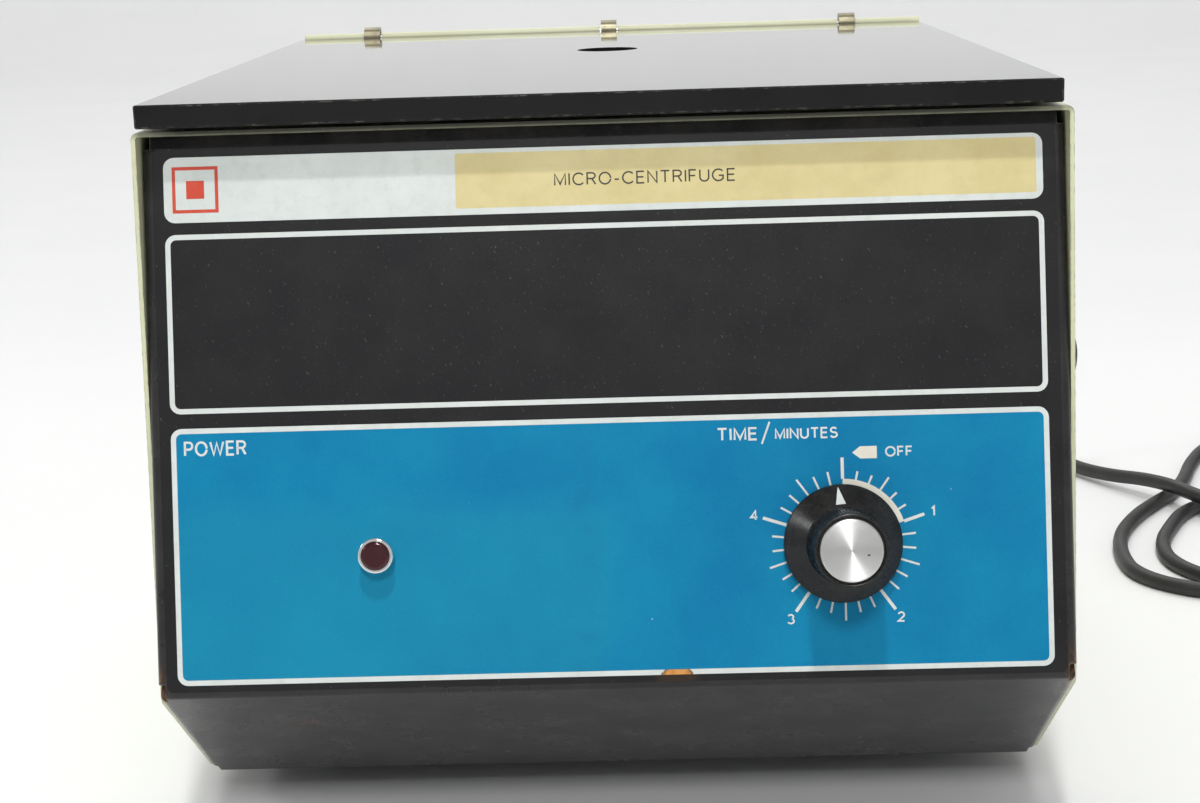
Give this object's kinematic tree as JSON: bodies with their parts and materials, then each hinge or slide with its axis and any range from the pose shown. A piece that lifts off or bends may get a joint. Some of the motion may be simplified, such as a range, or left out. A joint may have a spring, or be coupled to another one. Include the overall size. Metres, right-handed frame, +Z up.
{
  "type": "laboratory centrifuge",
  "caption": "Bench micro-centrifuge: bent-sheet case, flat hinged lid over an angle rotor, front timer knob and lamp, mains cord with plug.",
  "frame": {"origin": "on the table, under the middle of the case and what is fixed to it, leaving out the mains cord", "axes": "+X to the right seen from the front, +Y to the rear, +Z up"},
  "size_m": [0.4925, 0.5056, 0.2191],
  "materials": {
    "black_enamel": "black satin baked enamel on sheet steel",
    "cream_enamel": "cream-beige baked enamel on sheet steel",
    "lid_sheet": "polished black cast sheet, satin sawn edges",
    "label_film": "printed polyester label, fine grain",
    "zinc_steel": "zinc plated",
    "bare_steel": "ground",
    "hinge_metal": "dull bronze plating",
    "black_rubber": "matte moulded",
    "bowl_metal": "spun, bead-blasted",
    "rotor_metal": "turned and anodised",
    "cast_metal": "die cast",
    "lamination": "stacked laminations, varnished",
    "copper": "enamelled copper",
    "carbon": "carbon brush",
    "phenolic": "dark moulded phenolic",
    "white_nylon": "moulded nylon",
    "knob_black": "polished black moulding",
    "spun_aluminium": "circular spun face",
    "chrome_trim": "bright plated",
    "red_lens": "deep red, polished",
    "clear_window": "clear acrylic",
    "clear_glass": "neon bulb glass",
    "plate_metal": "blank satin data plate",
    "cord_jacket": "black flexible jacket"
  },
  "bodies": {
    "case": {"chassis": "black_enamel", "cover": "cream_enamel", "rear_panel": "cream_enamel", "rating_plate": "plate_metal", "front_overlay": "label_film", "feet": "black_rubber", "foot_screws": "zinc_steel", "cover_screws": "zinc_steel", "top_screws": "zinc_steel", "hinge_pin": "bare_steel", "lid_bumpers": "black_rubber", "chamber_gasket": "black_rubber", "chamber_bowl": "bowl_metal", "chamber_boot": "black_rubber", "bearing_outer_rings": "bare_steel", "motor_lower_bell": "cast_metal", "motor_upper_bell": "cast_metal", "field_stack": "lamination", "field_coils": "copper", "brush_tubes": "phenolic", "brushes": "carbon", "brush_caps": "phenolic", "motor_plate": "zinc_steel", "motor_through_bolts": "zinc_steel", "motor_isolators": "black_rubber", "isolator_bolts": "zinc_steel", "timer_body": "zinc_steel", "timer_nut": "zinc_steel", "lamp_bezel": "chrome_trim", "lamp_lens": "red_lens", "neon_bulb": "clear_glass", "lamp_nut": "zinc_steel", "switch_bracket": "zinc_steel", "lid_switch": "phenolic", "terminal_block": "phenolic", "terminal_screws": "zinc_steel", "strain_relief": "cord_jacket", "cord_lead": "cord_jacket", "cord_coil": "cord_jacket", "cord_tail": "cord_jacket", "plug_body": "cord_jacket", "plug_blades": "hinge_metal"},
    "lid_body": {"lid": "lid_sheet", "sight_window": "clear_window", "hinge_straps": "hinge_metal", "hinge_screws": "zinc_steel"},
    "spinner": {"rotor": "rotor_metal", "rotor_nut": "rotor_metal", "motor_shaft": "bare_steel", "bearing_inner_rings": "bare_steel", "armature_core": "lamination", "armature_winding": "copper", "commutator": "copper", "cooling_fan": "white_nylon"},
    "knob": {"timer_shaft": "bare_steel", "knob_body": "knob_black", "knob_set_screw": "bare_steel", "knob_insert": "spun_aluminium"},
    "plunger": {"switch_plunger": "white_nylon"}
  },
  "joints": [
    {"name": "lid_hinge", "type": "hinge", "parent": "case", "child": "lid_body", "pos_m": [0, 0.1648, 0.2151], "axis": [-1, 0, 0], "range_deg": [0, 100]},
    {"name": "rotor_spin", "type": "hinge", "parent": "case", "child": "spinner", "pos_m": [0, 0.0488, 0.152], "axis": [0, 0, 1], "continuous": true},
    {"name": "timer_knob", "type": "hinge", "parent": "case", "child": "knob", "pos_m": [0.062, -0.14034, 0.09401], "axis": [0, 0.9763, -0.2164], "range_deg": [0, 345]},
    {"name": "switch_press", "type": "slide", "parent": "case", "child": "plunger", "axis": [0, 0, 1], "range_m": [0, 0.0022]}
  ],
  "couplings": [
    {"joint": "switch_press", "follows": "lid_hinge", "m_per_rad": 0.0012604}
  ]
}
